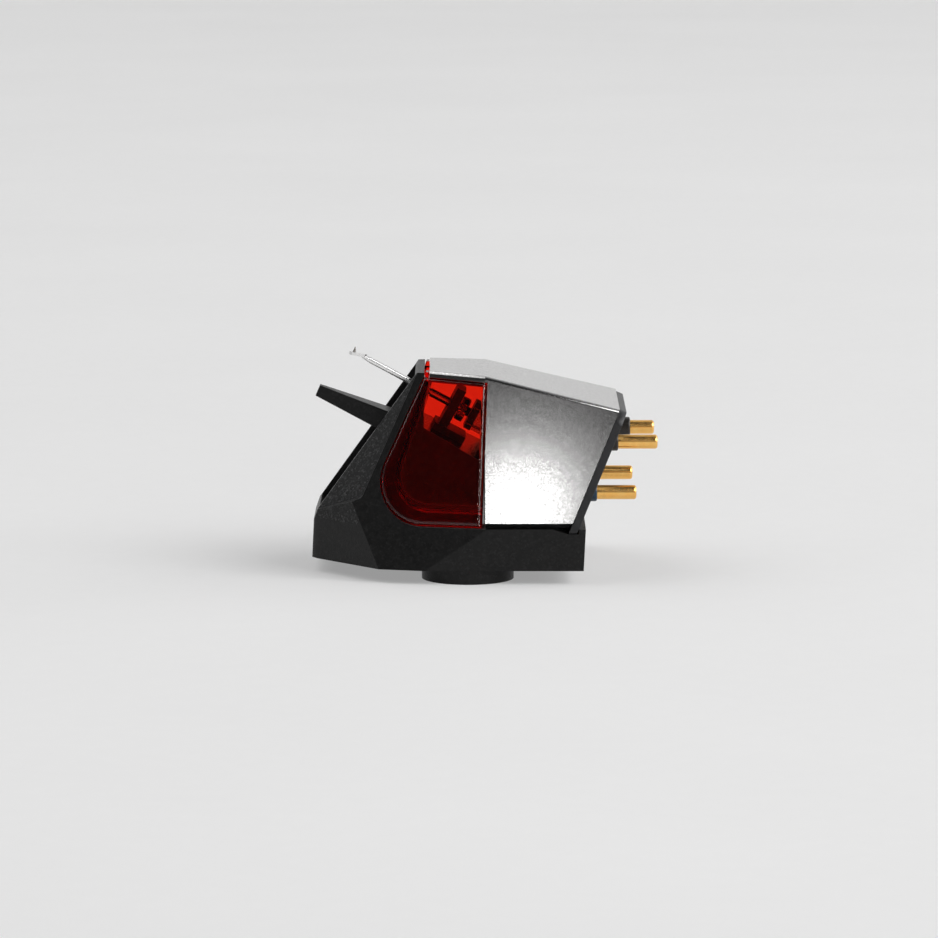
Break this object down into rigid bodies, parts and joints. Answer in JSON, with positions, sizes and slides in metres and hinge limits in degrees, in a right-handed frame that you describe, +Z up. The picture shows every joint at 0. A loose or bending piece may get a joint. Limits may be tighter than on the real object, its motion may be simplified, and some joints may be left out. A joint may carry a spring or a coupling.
{
  "type": "phono cartridge",
  "caption": "Moving-coil phono cartridge on its mounting bosses: black moulded nose with cueing prong, red translucent side windows, metal shell, gold pins, cantilever with stylus.",
  "frame": {"origin": "midway between the two mounting holes, on the mounting plane", "axes": "+X towards the output pins, +Y across the cartridge, +Z up from the mounting plane to the stylus"},
  "size_m": [0.029, 0.0204, 0.0187],
  "materials": {
    "black_moulding": "matte, glass-filled",
    "red_cover": "gloss, translucent",
    "shell_metal": "bead blasted",
    "plate_black": "satin",
    "pole_steel": "satin",
    "magnet_metal": "plated",
    "damper_rubber": "matte",
    "former_iron": "satin",
    "copper_wire": "enamelled copper",
    "cantilever_metal": "drawn",
    "diamond": "polished",
    "pin_gold": "gold plated",
    "collar_black": "satin",
    "collar_blue": "satin"
  },
  "bodies": {
    "cartridge": {"body_moulding": "black_moulding", "window_cover": "red_cover", "metal_shell": "shell_metal", "terminal_plate": "plate_black", "front_yoke": "pole_steel", "rear_pole": "pole_steel", "magnet": "magnet_metal", "rear_yoke": "pole_steel", "pin_right_upper": "pin_gold", "collar_right_upper": "collar_black", "lead_right_upper": "copper_wire", "pin_right_lower": "pin_gold", "collar_right_lower": "collar_blue", "lead_right_lower": "copper_wire", "pin_left_upper": "pin_gold", "collar_left_upper": "collar_black", "lead_left_upper": "copper_wire", "pin_left_lower": "pin_gold", "collar_left_lower": "collar_black", "lead_left_lower": "copper_wire"},
    "suspension": {"damper": "damper_rubber"},
    "stylus_bar": {"armature": "former_iron", "coil_left": "copper_wire", "coil_right": "copper_wire", "cantilever_sleeve": "cantilever_metal", "cantilever": "cantilever_metal", "stylus": "diamond"}
  },
  "joints": [
    {"name": "vertical_swing", "type": "hinge", "parent": "cartridge", "child": "suspension", "pos_m": [0, 0, 0.0131], "axis": [0, 1, 0], "range_deg": [-3, 3], "stiffness_Nm_per_rad": 0.0065},
    {"name": "lateral_swing", "type": "hinge", "parent": "suspension", "child": "stylus_bar", "pos_m": [0, 0, 0.0131], "axis": [0.4726, 0, 0.8813], "range_deg": [-3, 3], "stiffness_Nm_per_rad": 0.0065}
  ]
}
